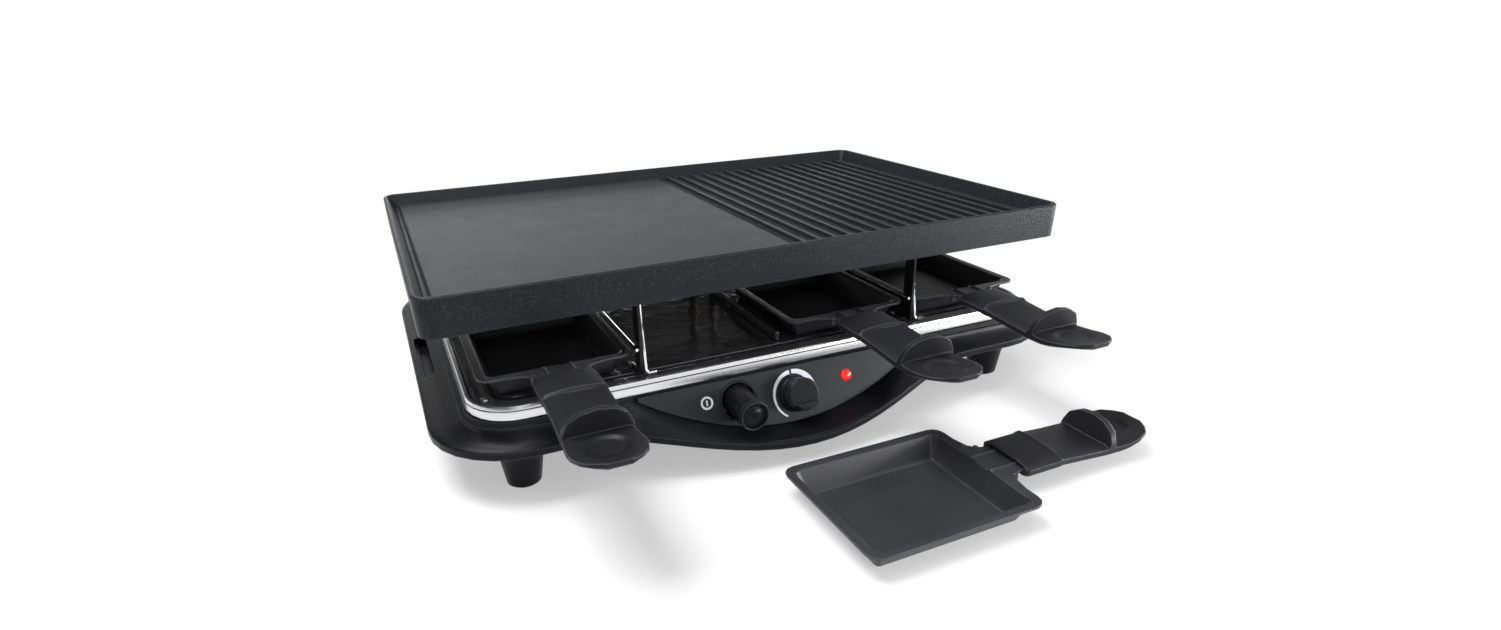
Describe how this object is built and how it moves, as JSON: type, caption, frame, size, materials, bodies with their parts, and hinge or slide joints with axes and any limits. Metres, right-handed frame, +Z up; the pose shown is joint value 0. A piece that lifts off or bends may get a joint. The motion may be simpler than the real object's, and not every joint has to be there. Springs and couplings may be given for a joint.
{
  "type": "raclette grill",
  "caption": "Table-top raclette grill with a half flat, half ribbed plate over a tray of small handled pans, on a rounded base with a control panel.",
  "frame": {"origin": "under the middle of the bounding box, on the table", "axes": "+X along the grill's length to the right, +Y to the back, +Z up"},
  "size_m": [0.424, 0.4352, 0.12],
  "materials": {
    "cast_aluminium_coated": "die-cast aluminium with a grained dark non-stick coat",
    "black_plastic": "moulded, satin",
    "panel_plastic": "moulded dark grey, satin",
    "brushed_steel": "brushed along its length",
    "chrome_wire": "polished plating",
    "black_enamel": "glossy enamel",
    "black_coated_sheet": "heat-proof satin paint",
    "non_stick_coating": "dark satin non-stick coat on pressed steel",
    "element_sheath": "dull, dark from heat",
    "rubber": "matt",
    "red_lens": "translucent red, glossy",
    "housing_plastic": "moulded, light"
  },
  "bodies": {
    "base": {"base_shell": "black_plastic", "bottom_cover": "black_plastic", "button_bezel": "black_plastic", "cord_gland": "black_plastic", "foot_front_left": "black_plastic", "foot_front_right": "black_plastic", "foot_rear_left": "black_plastic", "foot_rear_right": "black_plastic", "control_panel": "panel_plastic", "trim_strip": "brushed_steel", "thermostat_shaft": "brushed_steel", "brace_front_left": "chrome_wire", "brace_front_right": "chrome_wire", "brace_rear_left": "chrome_wire", "brace_rear_right": "chrome_wire", "guide_wire_left": "chrome_wire", "guide_wire_right": "chrome_wire", "pan_tray": "black_enamel", "slot_rail_front": "black_enamel", "slot_rail_rear": "black_enamel", "support_frame": "black_coated_sheet", "lead_riser": "black_coated_sheet", "post_front_left": "black_coated_sheet", "post_front_right": "black_coated_sheet", "post_rear_left": "black_coated_sheet", "post_rear_right": "black_coated_sheet", "heating_element": "element_sheath", "foot_pad_front_left": "rubber", "foot_pad_front_right": "rubber", "foot_pad_rear_left": "rubber", "foot_pad_rear_right": "rubber", "indicator_lens": "red_lens", "switch_body": "housing_plastic", "thermostat_body": "housing_plastic", "indicator_body": "housing_plastic", "terminal_block": "housing_plastic"},
    "plate": {"grill_plate": "cast_aluminium_coated"},
    "pan_1": {"pan_slot_1": "non_stick_coating", "pan_handle_slot_1": "black_plastic"},
    "pan_3": {"pan_slot_3": "non_stick_coating", "pan_handle_slot_3": "black_plastic"},
    "pan_4": {"pan_slot_4": "non_stick_coating", "pan_handle_slot_4": "black_plastic"},
    "loose_pan": {"pan_loose": "non_stick_coating", "pan_handle_loose": "black_plastic"},
    "knob": {"thermostat_knob": "black_plastic"},
    "button": {"push_button": "black_plastic", "button_rim": "black_plastic"}
  },
  "joints": [
    {"name": "plate_lift", "type": "slide", "parent": "base", "child": "plate", "axis": [0, 0, 1], "range_m": [0, 0.12]},
    {"name": "pan_1_out", "type": "slide", "parent": "base", "child": "pan_1", "axis": [0, -0.9781, 0.2079], "range_m": [0, 0.16]},
    {"name": "pan_3_out", "type": "slide", "parent": "base", "child": "pan_3", "axis": [0, -0.9781, 0.2079], "range_m": [0, 0.16]},
    {"name": "pan_4_out", "type": "slide", "parent": "base", "child": "pan_4", "axis": [0, -0.9781, 0.2079], "range_m": [0, 0.16]},
    {"name": "loose_pan_slide", "type": "slide", "parent": "base", "child": "loose_pan", "axis": [0, -1, 0], "range_m": [0, 0.15]},
    {"name": "knob_turn", "type": "hinge", "parent": "base", "child": "knob", "pos_m": [-0.004, -0.08256, 0.02993], "axis": [0, -0.9272, 0.3746], "range_deg": [-210, 0]},
    {"name": "button_push", "type": "slide", "parent": "base", "child": "button", "axis": [0, 1, 0], "range_m": [0, 0.004], "stiffness_N_per_m": 300, "springref_m": -0.001}
  ]
}
